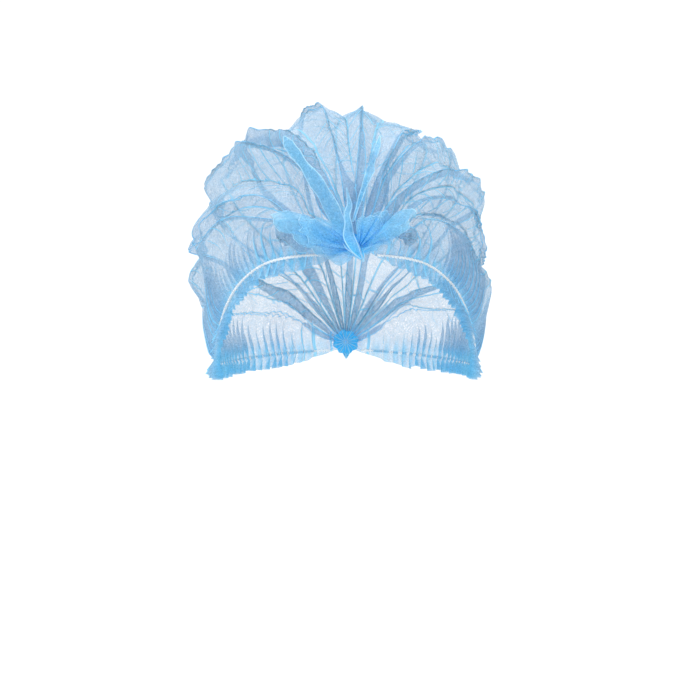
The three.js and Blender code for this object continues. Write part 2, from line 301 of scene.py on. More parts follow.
# the crown's columns: the place, outward direction and panel of each
def pleatedCrown():
    turns = np.linspace(-1, 1, 481)
    bare, radius, edgeAngle = dome(shares, turns)
    outward = unit(np.cross(np.gradient(bare, axis=1), np.gradient(bare, axis=0)))
    swing = np.sin(2 * np.pi * shares)

    def across(turn, table):
        return np.array([np.interp(t, turns, line) for t, line in zip(turn, table)])

    stops = [{"turn": -np.ones_like(shares), "height": np.zeros_like(shares)}]
    order = [p["turn"] for p in pleats]
    middles = []
    for i, pleat in enumerate(pleats):
        bends = 7 + (i * 5) % 4
        kinks = [sheet["kink"] * noise.noise(Vector((k * 3.1, i * 2.3, 6.6))) for k in range(bends)]
        kinks[0] = kinks[-1] = 0
        middle = pleat["turn"] + pleat["sway"] * swing + np.interp(shares, np.linspace(0, 1, bends), kinks)
        perTurn = across(middle, radius) * across(middle, edgeAngle)  # mm from the middle out to turn 1
        room = min(abs(pleat["turn"] - t) for t in order + [-1, 1] if t != pleat["turn"])
        nearKnot = np.maximum(bump(shares, pleat["opens"]), 0.8 * bump(1 - shares, 0.13))
        uneven = np.array([noise.noise(Vector((v * 7, i * 4.3, 5.1))) for v in shares])
        fold = pleat["fold"] * (1 + 0.8 * uneven) + (pleat["knotFold"] - pleat["fold"]) * nearKnot
        half = np.minimum(fold / 2 / perTurn, 0.42 * room)
        clearOfKnot = across(middle, radius) - cap["knotRadius"]
        drop = np.minimum(sheet["valleyDepth"], sheet["knotValley"] + sheet["valleySteepness"] * clearOfKnot)
        nextTurn = pleats[i + 1]["turn"] if i + 1 < len(pleats) else 1.0
        previousTurn = pleats[i - 1]["turn"] if i else -1.0
        crest = pleat["fin"] * bump(shares - 0.1, 0.09)
        tuckUnder = sheet["layerGap"] + drop * pleat["dip"] * np.clip(
            2 * half / (0.5 * min(nextTurn - pleat["turn"], pleat["turn"] - previousTurn)), 0, 0.7
        )
        middles.append(middle)
        top = {"turn": middle + half, "height": crest}
        under = {"turn": middle - half, "height": crest - tuckUnder}
        if pleat["over"] < 0:
            top, under = (
                {"turn": middle + half, "height": crest - tuckUnder},
                {"turn": middle - half, "height": crest},
            )
        if i:
            before = pleats[i - 1]["lean"]
            valley = middles[i - 1] + (middle - middles[i - 1]) * before
            stops.append({"turn": valley, "height": -valleyDrop})
        valleyDrop = drop * pleat["dip"]
        stops += [top, under]
    stops.append({"turn": np.ones_like(shares), "height": np.zeros_like(shares)})

    half = len(shares) // 2
    spans = np.array([
        abs(b["turn"][half] - a["turn"][half]) * 200 + abs(b["height"][half] - a["height"][half]) + 3
        for a, b in zip(stops, stops[1:])
    ])
    counts = np.maximum(np.round(spans / spans.sum() * sheet["crownColumns"]), 3).astype(int)
    columns = []
    for panel, (a, b, count) in enumerate(zip(stops, stops[1:], counts)):
        for k in range(count + (panel == len(counts) - 1)):
            part = k / count
            turn = a["turn"] + (b["turn"] - a["turn"]) * part
            height = a["height"] + (b["height"] - a["height"]) * part
            place = np.stack([across(turn, bare[..., j]) for j in range(3)], -1)
            out = unit(np.stack([across(turn, outward[..., j]) for j in range(3)], -1))
            columns.append({"place": place + out * height[:, None], "out": out, "panel": panel})
    return columns


# the strip's columns from the hem to the crown, without ripples
def stripColumns(side):
    rows = np.r_[
        np.linspace(0, 1, sheet["hemColumns"], endpoint=False),
        np.linspace(1, 3, sheet["gatherColumns"], endpoint=False),
    ]
    columns = []
    for row in rows:
        place = stripPoint(side, shares, row)
        rising = stripPoint(side, shares, min(row + 0.05, 3)) - stripPoint(side, shares, max(row - 0.05, 0))
        out = unit(side * np.cross(np.gradient(place, axis=0), rising))
        columns.append({"place": place, "out": out})
    return columns


def smoothNoise(places, size, seed):
    return np.array([noise.noise(Vector(p) / size + Vector((seed, seed * 2.7, 0))) for p in places])


def makeSheet(material):
    left, right = stripColumns(-1), stripColumns(1)
    crown = pleatedCrown()
    columns = left + crown + right[::-1]
    place = np.stack([c["place"] for c in columns], 1)  # row, column, xyz
    out = np.stack([c["out"] for c in columns], 1)
    rowCount, columnCount = place.shape[:2]
    first, last = len(left), len(left) + len(crown) - 1

    # the crown's outward direction runs over into the strip's
    for edge, step in ((first, 1), (last, -1)):
        span = 8
        for k in range(span):
            blend = ease(k, 0, span)
            column = edge + step * k
            out[:, column] = unit(out[:, edge - step] * (1 - blend) + out[:, column] * blend)

    for edge in (first, last):
        for _ in range(60):
            near = slice(edge - 10, edge + 11)
            before, after = place[:, edge - 11 : edge + 10], place[:, edge - 9 : edge + 12]
            place[:, near] = (before + 2 * place[:, near] + after) / 4

    # each end is drawn in to its knot
    for knot, outSign, pulled in (
        (browKnot, -1, ease(sheet["pinchShare"] - shares, 0, sheet["pinchShare"])),
        (napeKnot, 1, ease(sheet["pinchShare"] - (1 - shares), 0, sheet["pinchShare"])),
    ):
        middle = knot + backward * outSign * (-cap["dimpleDepth"] * 0.6)
        pinched = middle + (place - middle) * sheet["pinchTo"] + backward * outSign * sheet["pinchOut"]
        place = place + (pinched - place) * pulled[:, None, None]

    # cloth lengths: across from each hem and from each elastic, along from the brow knot
    steps = np.linalg.norm(np.diff(place, axis=1), axis=2)
    acrossLeft = np.concatenate([np.zeros((rowCount, 1)), np.cumsum(steps, axis=1)], axis=1)
    acrossRight = acrossLeft[:, -1:] - acrossLeft
    hem = sheet["hemColumns"]
    overLeft = acrossLeft - acrossLeft[:, hem : hem + 1]
    overRight = acrossRight - acrossRight[:, -1 - hem][:, None]
    along = np.concatenate(
        [np.zeros((1, columnCount)), np.cumsum(np.linalg.norm(np.diff(place, axis=0), axis=2), axis=0)]
    )

    # gathers, with a painted highlight along their crests and painted shade in their valleys
    ripples = {side: gatherRipple(side, shares) for side in (-1, 1)}
    height = np.zeros((rowCount, columnCount))
    crestHighlightDistance = np.full((rowCount, columnCount), 20.0)
    bunchingShade = np.zeros((rowCount, columnCount))
    narrowed = fullness(shares)
    for side, over in ((-1, overLeft), (1, overRight)):
        wave, reach = ripples[side]
        above = np.clip(over, 0, None)
        size = np.where(
            over < 0,
            strip["ruffleStart"] + strip["ruffleGain"][0] * np.clip(-over / strip["hemDepth"], 0, 1.2),
            strip["ruffleStart"] + strip["ruffleGain"][1] * ease(above, 0, 6),
        )
        fade = np.exp(-np.clip((above - 8) / (strip["fade"] * reach[:, None]), 0, None) ** 1.5)
        height += strip["rippleHeight"] * size * fade * wave[:, None] * narrowed[:, None]
        # light lines along each gather's crest: a painted highlight
        crest = np.where(over < 30, 4 * (0.9 - wave[:, None]) + 2.4 * (1 - fade), 20)
        crestHighlightDistance = np.minimum(crestHighlightDistance, np.clip(crest, 0, None))
        # bunched most near the elastic and in the valleys between gathers: denser cloth, with painted shade
        # in the valleys
        tight = bump(np.where(over < 0, over * 0.5, over), 7) * narrowed[:, None]
        bunchingShade += tight * np.clip(0.8 - 0.7 * wave, 0, 1.3)[:, None]
    place = place + out * height[..., None]

    # pressed cross creases that fall away from each ridge like the veins of a leaf
    fromRidge = np.zeros((rowCount, columnCount))
    pitch = np.ones(columnCount)
    slant = np.ones(columnCount)
    foldAndHighlightDistance = np.full((rowCount, columnCount), 20.0)
    panels = [c["panel"] for c in crown]
    for panel in range(max(panels) + 1):
        own = [first + k for k, p in enumerate(panels) if p == panel]
        ends = own + [min(own[-1] + 1, last)]
        start, stop = acrossLeft[:, ends[0]], acrossLeft[:, ends[-1]]
        step = 0.5 + noise.noise(Vector((panel * 3.7, 1.1, 8.8)))
        for column in own:
            gone = acrossLeft[:, column] - start
            rest = stop - acrossLeft[:, column]
            if panel:
                foldAndHighlightDistance[:, column] = gone
            if panel < max(panels):
                foldAndHighlightDistance[:, column] = np.minimum(foldAndHighlightDistance[:, column], rest)
            fromRidge[:, column] = gone if panel % 3 == 2 else rest
            pitch[column] = sheet["pressPitch"] * (0.75 + 0.6 * step)
            slant[column] = sheet["pressSlant"] * (0.7 + 0.7 * step)
    flatPlaces = place.reshape(-1, 3)
    wander = smoothNoise(flatPlaces, 60, 3.7).reshape(rowCount, columnCount)
    press = (along + slant * fromRidge + 9 * wander) / pitch
    patchy = ease(smoothNoise(flatPlaces, 30, 8.2).reshape(rowCount, columnCount), -0.2, 0.15)
    patchy *= 1 - ease(fromRidge, *sheet["pressReach"])
    onCrown = ease(np.minimum(overLeft, overRight), 16, 40)
    triangle = 1 - 4 * np.abs(press - np.round(press))
    pressed = sheet["pressHeight"] * triangle * patchy * onCrown

    # crumpling, the same for every layer of a fold
    broad, fine = (
        smoothNoise(flatPlaces, size, seed).reshape(rowCount, columnCount)
        for size, seed in zip(sheet["crumpleSize"], (1.3, 6.1))
    )
    swell, pucker = np.abs(broad), np.abs(fine)  # rounded swellings between long creases
    acrossStep = np.maximum(np.gradient(acrossLeft, axis=1), 0.2)
    alongStep = np.maximum(np.gradient(along, axis=0), 0.2)
    steepness = np.hypot(np.gradient(broad, axis=0) / alongStep, np.gradient(broad, axis=1) / acrossStep)
    tall, low = sheet["crumpleHeight"]
    crumple = tall * (2 * swell - 0.6) + low * (2 * pucker - 0.5)
    noCrease = 1.5 * (1 - onCrown) + 1.5 * (1 - ease(steepness, *sheet["creaseSteepness"]))
    foldAndHighlightDistance = np.minimum(foldAndHighlightDistance, swell * 90 + noCrease)
    foldAndHighlightDistance = np.minimum(foldAndHighlightDistance, crestHighlightDistance)
    awayFromKnots = ease(np.minimum(shares, 1 - shares), 0.0, 0.08)[:, None]
    crumple *= (0.15 + 0.85 * onCrown) * awayFromKnots
    place = place + out * (pressed * awayFromKnots + crumple)[..., None]

    # the free hem is uneven
    for side, over in ((-1, overLeft), (1, overRight)):
        uneven = np.array([noise.noise(Vector((s * 61, side * 5, 0.4))) for s in shares])
        below = np.clip(-over / strip["hemDepth"], 0, 1.2)
        wave = ripples[side][0]
        place[..., 2] += below * (strip["ragged"] * uneven - strip["scallop"] * wave * narrowed)[:, None]

    creaseAndShadeMarks = {
        "foldAndHighlightDistance": foldAndHighlightDistance,
        "pressPhase": press,
        "pressPatch": patchy * onCrown,
        "bunchingShade": np.clip(bunchingShade, 0, 1),
    }
    piece = gridPiece("cap_sheet", place, creaseAndShadeMarks, material)
    area = sum(p.area for p in piece.data.polygons)
    wide, long = acrossLeft[rowCount // 2, -1], along[-1, columnCount // 2]
    faces = len(piece.data.polygons)
    print(f"sheet: {faces} faces, {area:.3f} m2, {wide:.0f} mm across, {long:.0f} mm along")
    return piece, place.reshape(-1, 3)


# a short way to write a tree of nodes
class Nodes:
    def __init__(self, tree):
        self.tree = tree

    def add(self, kind, inputs=(), **settings):
        node = self.tree.nodes.new(kind)
        for name, value in settings.items():
            setattr(node, name, value)
        for name, value in dict(inputs).items():
            socket = node.inputs[name]
            if isinstance(value, bpy.types.NodeSocket):
                self.tree.links.new(value, socket)
            else:
                socket.default_value = value
        return node

    def math(self, operation, a, b=0.0, c=0.0):
        return self.add("ShaderNodeMath", {0: a, 1: b, 2: c}, operation=operation).outputs[0]

    def ramp(self, value, low, high, toLow=0.0, toHigh=1.0):
        return self.add(
            "ShaderNodeMapRange",
            {"Value": value, "From Min": low, "From Max": high, "To Min": toLow, "To Max": toHigh},
            interpolation_type="SMOOTHSTEP",
        ).outputs[0]

    def mix(self, share, a, b):
        return self.add("ShaderNodeMix", {0: share, 6: a, 7: b}, data_type="RGBA").outputs[2]

    def attribute(self, name):
        return self.add("ShaderNodeAttribute", attribute_name=name).outputs["Fac"]


nonwoven = {
    "blue": (0.28, 0.50, 0.71, 1),
    "pale": (0.49, 0.66, 0.80, 1),
    # lighter colour of the creases and fold edges: partly pressed fibre, partly painted highlight
    "line": (0.33, 0.74, 0.97, 1),
    # deeper blue where the cloth bunches: partly denser cloth, partly painted shade
    "denseShade": (0.15, 0.60, 0.90, 1),
    "denseShare": 0.85,
    "cover": 0.48,
    "grain": 1.5,
    "lineCover": 0.6,
    "throughShare": 0.42,
    "roughness": 0.62,
    "cloudScale": 210.0,
    "fibreScale": 1150.0,
    "bondScale": 900.0,
    "creaseWidth": (0.15, 0.9),
    "pressWidth": (0.02, 0.07),
    "denseCover": 0.3,
    "reliefHeight": 0.0012,  # metres
}
bunched = {
    **nonwoven,
    "blue": (0.09, 0.60, 0.95, 1),
    "pale": (0.26, 0.74, 0.97, 1),
    # lighter lines: partly pressed fibre, partly painted highlight
    "line": (0.62, 0.88, 1.0, 1),
    # deeper blue where the cloth bunches: partly denser cloth, partly painted shade
    "denseShade": (0.0, 0.57, 1.0, 1),
    "denseShare": 1.0,
    "cover": 0.76,
    "grain": 1.3,
}


# thin spunbond: grainy fibres with gaps between them, denser on every crease and in the gathers; the creases
# are drawn lighter, partly pressed fibre and partly painted highlight, and bunched places deeper blue,
# partly denser cloth and partly painted shade
def nonwovenMaterial(name, look):
    material = bpy.data.materials.new(name)
    material.use_nodes = True
    material.node_tree.nodes.clear()
    n = Nodes(material.node_tree)
    place = n.add("ShaderNodeTexCoord").outputs["Object"]

    cloudy = {"Vector": place, "Scale": look["cloudScale"], "Detail": 3.0}
    clouds = n.add("ShaderNodeTexNoise", cloudy).outputs[0]
    fibrous = {
        "Vector": place, "Scale": look["fibreScale"], "Detail": 4.0, "Roughness": 0.7, "Distortion": 1.2,
    }
    fibres = n.add("ShaderNodeTexNoise", fibrous).outputs[0]
    bonds = n.add("ShaderNodeTexVoronoi", {"Vector": place, "Scale": look["bondScale"]}).outputs["Distance"]

    foldAndHighlightLine = n.ramp(n.attribute("foldAndHighlightDistance"), *look["creaseWidth"], 1.0, 0.0)
    phase = n.attribute("pressPhase")
    nearLine = n.math("ABSOLUTE", n.math("SUBTRACT", phase, n.math("ROUND", phase)))
    pressLine = n.ramp(nearLine, *look["pressWidth"], 1.0, 0.0)
    pressLine = n.math("MULTIPLY", pressLine, n.attribute("pressPatch"))
    creaseAndHighlightLines = n.math("MAXIMUM", foldAndHighlightLine, pressLine)

    cover = n.math("MULTIPLY_ADD", n.math("SUBTRACT", fibres, 0.5), look["grain"], look["cover"])
    cover = n.math("MULTIPLY_ADD", n.math("SUBTRACT", clouds, 0.5), 0.35, cover)
    cover = n.math("MULTIPLY_ADD", n.ramp(bonds, 0.15, 0.45, 1.0, 0.0), 0.1, cover)
    cover = n.math("MULTIPLY_ADD", creaseAndHighlightLines, look["lineCover"], cover)
    # painted shade: the bunched places take the deeper blue, in the gather valleys, frill hubs, fold ends
    # and knot pleats
    denseShade = n.attribute("bunchingShade")
    cover = n.math("MULTIPLY_ADD", denseShade, look["denseCover"], cover)
    cover = n.add("ShaderNodeClamp", {"Value": cover, "Min": 0.08, "Max": 0.97}).outputs[0]

    whiter = n.ramp(fibres, 0.36, 0.66, 0.0, 0.85)
    tint = n.math("MULTIPLY", denseShade, look["denseShare"])
    colour = n.mix(whiter, look["blue"], look["pale"])
    colour = n.mix(tint, colour, look["denseShade"])
    # painted highlight: the crease and fold-edge lines take the lighter colour
    colour = n.mix(creaseAndHighlightLines, colour, look["line"])

    pressRelief = n.math("MULTIPLY", n.math("MULTIPLY", nearLine, -2.0), n.attribute("pressPatch"))
    relief = n.math("MULTIPLY_ADD", fibres, 0.15, n.math("MULTIPLY_ADD", creaseAndHighlightLines, 0.25, pressRelief))
    bumpy = {"Height": relief, "Strength": 0.8, "Distance": look["reliefHeight"]}
    raised = n.add("ShaderNodeBump", bumpy).outputs[0]
    front = n.add(
        "ShaderNodeBsdfPrincipled",
        {"Base Color": colour, "Roughness": look["roughness"], "Specular IOR Level": 0.35, "Normal": raised},
    ).outputs[0]
    through = n.add("ShaderNodeBsdfTranslucent", {"Color": colour, "Normal": raised}).outputs[0]
    cloth = n.add("ShaderNodeMixShader", {0: look["throughShare"], 1: front, 2: through}).outputs[0]
    clear = n.add("ShaderNodeBsdfTransparent").outputs[0]
    mixed = n.add("ShaderNodeMixShader", {0: cover, 1: clear, 2: cloth}).outputs[0]
    n.add("ShaderNodeOutputMaterial", {"Surface": mixed})
    return material


# a mesh object from a grid of places in mm, with the creases, painted highlights and painted shade that its
# material draws
def gridPiece(name, place, creaseAndShadeMarks, material, closed=False):
    rowCount, columnCount = place.shape[:2]
    index = np.arange(rowCount * columnCount).reshape(rowCount, columnCount)
    if closed:
        index = np.concatenate([index, index[:, :1]], axis=1)
    quads = np.stack([index[:-1, :-1], index[:-1, 1:], index[1:, 1:], index[1:, :-1]], -1).reshape(-1, 4)
    mesh = bpy.data.meshes.new(name)
    mesh.from_pydata((place.reshape(-1, 3) * mm).tolist(), [], quads.tolist())
    for markName, values in creaseAndShadeMarks.items():
        layer = mesh.attributes.new(markName, "FLOAT", "POINT")
        layer.data.foreach_set("value", np.broadcast_to(values, place.shape[:2]).astype(np.float32).ravel())
    mesh.polygons.foreach_set("use_smooth", np.ones(len(mesh.polygons), dtype=bool))
    mesh.set_sharp_from_angle(angle=math.radians(48))
    mesh.materials.append(material)
    mesh.update()
    piece = bpy.data.objects.new(name, mesh)
    bpy.context.scene.collection.objects.link(piece)
    return piece


sheetNonwoven = nonwovenMaterial("blueNonwoven", nonwoven)
bunchedNonwoven = nonwovenMaterial("bunchedNonwoven", bunched)
frillNonwoven = nonwovenMaterial(
    "frillNonwoven", {**bunched, "blue": (0.20, 0.63, 0.92, 1), "pale": (0.50, 0.80, 0.96, 1), "cover": 0.36}
)
foldNonwoven = nonwovenMaterial(
    "foldNonwoven", {**bunched, "blue": (0.17, 0.62, 0.92, 1), "pale": (0.46, 0.79, 0.96, 1), "cover": 0.44}
)
capSheet, sheetPlaces = makeSheet(sheetNonwoven)
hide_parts("crown", "rim_left", "rim_right")
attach(capSheet, "root")
print("cap sheet made")

# the pinched knots: rings from inside the crown out to the tip, each place, radius and pleat depth
frontKnot = {
    "pleats": 6,
    "perPleat": 12,
    "twist": 0.8,
    "rings": [
        (6.0, -101, -76, 0.8, 0.1),
        (6.0, -100, -76, 7.4, 0.15),
        (4.9, -106, -75, 6.0, 0.3),
        (4.2, -111, -75.5, 4.7, 0.42),
        (5.4, -115, -78, 3.6, 0.5),
        (7.6, -117.5, -81.2, 2.5, 0.5),
        (9.8, -119.5, -84.8, 0.4, 0.3),
    ],
}
rearKnot = {
    "pleats": 8,
    "perPleat": 8,
    "twist": -0.7,
    "rings": [
        (0, 99, -127, 0.8, 0.1),
        (0, 97, -127, 8.4, 0.16),
        (0, 101, -127.5, 7.6, 0.2),
        (0, 106, -127.5, 6.2, 0.25),
        (0.2, 110, -128, 5.4, 0.35),
        (0.4, 114, -130, 4.0, 0.42),
        (0.3, 116, -133, 2.6, 0.45),
        (0.2, 118, -137, 0.5, 0.3),
    ],
}


# a bundle of pleats that narrows to its tip
def makeKnot(name, knot, outSign):
    rings = np.array(knot["rings"], float)
    steps = np.linspace(0, len(rings) - 1, 44)
    ring = np.stack([np.interp(steps, range(len(rings)), rings[:, k]) for k in range(5)], -1)
    for _ in range(3):  # ease the corners of the path
        ring[1:-1] = (ring[:-2] + 2 * ring[1:-1] + ring[2:]) / 4
    count = knot["pleats"] * knot["perPleat"]
    turn = 2 * np.pi * np.arange(count) / count
    fold = np.abs((turn * knot["pleats"] / (2 * np.pi)) % 1 - 0.5) * 2
    uneven = np.array([noise.noise(Vector((math.cos(t) * 1.4, math.sin(t) * 1.4, 3.3))) for t in turn])
    place = np.zeros((len(ring), count, 3))
    for k, (x, y, z, radius, depth) in enumerate(ring):
        reach = radius * (1 - depth * fold - 0.25 * depth * uneven)
        around = turn + knot["twist"] * k / len(ring)
        flat = np.stack([np.cos(around), np.zeros(count), np.sin(around) * 0.95], -1)
        place[k] = np.array([x, y, z]) + flat * reach[:, None]
        place[k, :, 1] -= outSign * 0.12 * radius * uneven
    if outSign > 0:
        place = place[:, ::-1]
        fold = fold[::-1]
    across = np.minimum(fold, 1 - fold)[None, :] * ring[:, 3:4]
    # lighter lines on each pleat's ridge and inner fold, partly painted highlight, and a deeper blue on the
    # inner folds, painted shade
    creaseAndShadeMarks = {
        "foldAndHighlightDistance": across + 0.15,
        "pressPhase": 0.5,
        "pressPatch": 0,
        "bunchingShade": np.broadcast_to(fold, across.shape) * 0.8,
    }
    return gridPiece(name, place, creaseAndShadeMarks, bunchedNonwoven, closed=True)


for name, knot, outSign in (("front_knot_folds", frontKnot, -1), ("rear_knot_folds", rearKnot, 1)):
    piece = makeKnot(name, knot, outSign)
    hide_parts(name.replace("_folds", ""))
    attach(piece, "root")

# the frills beside the brow knot, an outer and an inner one on each side. Each is a fold of the
# sheet that fans out from the knot: its edge as x and z, from below the knot to above it
frills = {
    "hub": (6.5, -112, -78.5),
    "proud": 2.2,
    "innerProud": 2.6,  # what the inner frills stand out beyond the outer ones
    "clearance": 0.8,  # the least that any frill stands off the sheet
    "easing": 1.5,  # how gently it is held there
    "sheetReach": 3.5,
    "ragged": 2.6,
    "thickness": 2.4,
    "rows": 46,
    "perStop": 14,
    "waves": 3.4,
    "waveHeight": 2.3,
    "left": [
        (3, -84.5), (-4, -84.3), (-12, -82), (-19.5, -78.5), (-26.4, -73.5), (-31.5, -69),
        (-38, -66), (-41, -60), (-34, -57.5), (-27, -59), (-19, -59.5), (-11, -61.5), (-3, -66),
    ],
    "right": [
        (7, -70), (7.5, -63), (13.2, -60.5), (18.6, -58), (23.9, -58.6), (30.4, -56), (36.5, -54.5),
        (36.5, -60.1), (32.5, -67), (26.5, -72.5), (18.5, -78), (12, -82.5),
    ],
    "left_inner": [
        (2, -82), (-8.2, -81), (-15.2, -77.8), (-20.5, -73), (-25, -67), (-24, -61.5), (-17.3, -62.4),
        (-11.5, -65.6), (-4.5, -71),
    ],
    "right_inner": [
        (6, -70), (7, -62), (12, -60.5), (17, -60), (21.5, -62.5), (20, -69), (15.5, -75), (10.5, -80.5),
    ],
}


def makeFrill(side, name):
    stops = np.array(frills[side], float)
    steps = np.linspace(0, len(stops) - 1, (len(stops) - 1) * frills["perStop"] + 1)
    edge = np.stack([np.interp(steps, range(len(stops)), stops[:, k]) for k in range(2)], -1)
    for _ in range(24):
        edge[1:-1] = (edge[:-2] + 2 * edge[1:-1] + edge[2:]) / 4
    for axis in range(2):
        uneven = [noise.noise(Vector((x / 6, z / 6, axis * 7 + len(side)))) for x, z in edge]
        edge[:, axis] += frills["ragged"] * np.array(uneven)
    front = sheetPlaces[sheetPlaces[:, 1] < -70]
    inner = 1.0 if side.endswith("inner") else 0.0
    hub = np.array(frills["hub"])
    rows, backRows = frills["rows"], frills["rows"] // 2
    out = np.concatenate([np.linspace(0.05, 1, rows), np.linspace(0.985, 0.35, backRows)])
    layer = np.r_[np.zeros(rows), ease(np.arange(1, backRows + 1), 0, 4)]
    along = np.linspace(0, 1, len(edge))
    drift = np.array([1.6 * noise.noise(Vector((v * 6, len(side) * 2.2, 1.7))) for v in along])
    wave = np.sin(2 * np.pi * frills["waves"] * along + 2.4 * drift + 0.7)
    fine = np.sin(2 * np.pi * 2.3 * frills["waves"] * along + 5 * drift)
    place = np.zeros((len(out), len(edge), 3))
    for row, share in enumerate(out):
        reach = share * (1 + 0.02 * wave + 0.02 * fine)
        at = hub[[0, 2]] + (edge - hub[[0, 2]]) * reach[:, None]
        place[row, :, 0], place[row, :, 2] = at[:, 0], at[:, 1]
        for column in range(len(edge)):
            gap = np.hypot(front[:, 0] - at[column, 0], front[:, 2] - at[column, 1])
            near = front[gap < frills["sheetReach"]]
            place[row, column, 1] = near[:, 1].min() if len(near) else -99
    depth = place[..., 1]
    for _ in range(40):
        depth[1:-1] = (depth[:-2] + 2 * depth[1:-1] + depth[2:]) / 4
        depth[:, 1:-1] = (depth[:, :-2] + 2 * depth[:, 1:-1] + depth[:, 2:]) / 4
    behind = depth.copy()
    puffed = frills["thickness"] * (1 - layer) * np.sqrt(np.clip(1 - out**6, 0, 1))
    depth -= (frills["proud"] + frills["innerProud"] * inner + puffed)[:, None]
    depth += (hub[1] - depth) * ((1 - out) ** 2)[:, None]
    rough = smoothNoise(place.reshape(-1, 3), 8, 5.5).reshape(depth.shape)
    broad = smoothNoise(place.reshape(-1, 3), 17, 2.5).reshape(depth.shape)
    ruffle = frills["waveHeight"] * wave + 0.3 * fine
    strength = np.sin(np.pi * np.clip(out, 0, 1) ** 0.6)[:, None] * 0.7 + 0.3 * out[:, None]
    depth -= ruffle[None, :] * (1 - 0.5 * layer[:, None]) * strength
    depth -= (1.5 * rough + 4.5 * broad) * out[:, None] ** 0.8
    standing = np.logaddexp(0, (behind - depth - frills["clearance"]) / frills["easing"])
    depth[:] = behind - frills["clearance"] - frills["easing"] * standing  # never under the sheet
    place[..., 2] += (1.4 * rough + 2 * broad) * out[:, None] ** 3
    # lighter lines along the ruffle crests are a painted highlight, and those at the rim and just inside it
    # mark the folded edge with a painted highlight
    crest = 14 * (1 - wave)[None, :] + 2.5 * out[:, None]
    rim = np.minimum(45 * np.abs(1 - out), 40 * np.abs(0.84 - out) + 0.35)[:, None] + np.zeros_like(depth)
    creaseAndShadeMarks = {
        "foldAndHighlightDistance": np.minimum(crest, rim),
        "pressPhase": 0.5,
        "pressPatch": 0,
        # deeper blue towards the hub and in the ruffle valleys: bunched cloth with painted shade
        "bunchingShade": (np.clip(1.05 - out, 0, 1) ** 1.3)[:, None] * (0.7 - 0.3 * wave)[None, :],
    }
    return gridPiece(name, place, creaseAndShadeMarks, frillNonwoven)


for side in ("left", "right", "left_inner", "right_inner"):
    piece = makeFrill(side, "frill_" + side)
    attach(piece, "root")

# folds of the sheet that stand on its front, two from the brow knot and one from above it: stops
# are the middle's x and z and half the width
folds = {
    "brow_fold": {
        "proud": 2.2, "thick": 2.4, "lift": 0.7, "rows": 110,
        "stops": [
            (6.6, -81.5, 1.2), (2.4, -76, 3.0), (-2.2, -67, 4.1), (-6.4, -57.5, 4.5), (-11, -48.5, 4.4),
            (-17, -39.5, 3.8), (-23.1, -31.2, 2.6), (-28, -24.5, 3.7), (-31.5, -19.2, 2.8),
            (-33.6, -15, 0.5),
        ],
    },
    "stem_fold": {
        "proud": 4.6, "thick": 3.0, "lift": -1.6, "rows": 70,
        "stops": [
            (8.6, -83.5, 0.8), (5, -78, 2.3), (1.6, -71.5, 3.1), (1.7, -64.5, 2.0), (0.6, -59, 2.4),
            (2.5, -54, 1.7), (1.6, -49.5, 1.0), (0.6, -44, 0.4),
        ],
    },
    "side_fold": {
        "proud": 0.8, "thick": 1.4, "lift": 0.5, "rows": 90,
        "stops": [
            (4, -63, 0.6), (7.5, -52, 1.2), (10.4, -43, 1.7), (13.5, -35, 2.2), (15, -28, 1.6),
            (17.6, -21, 1.8), (19, -14, 0.6),
        ],
    },
}


foldSeat = {
    "around": 26,
    "sheetReach": 2.2,
    "knotHeights": (-84, -76, -66, -62),  # z of four places over the brow knot, and how far
    "knotFronts": (-118, -113, -100, 0),  # forward (y) a fold runs at each
    "startFront": -112,
}


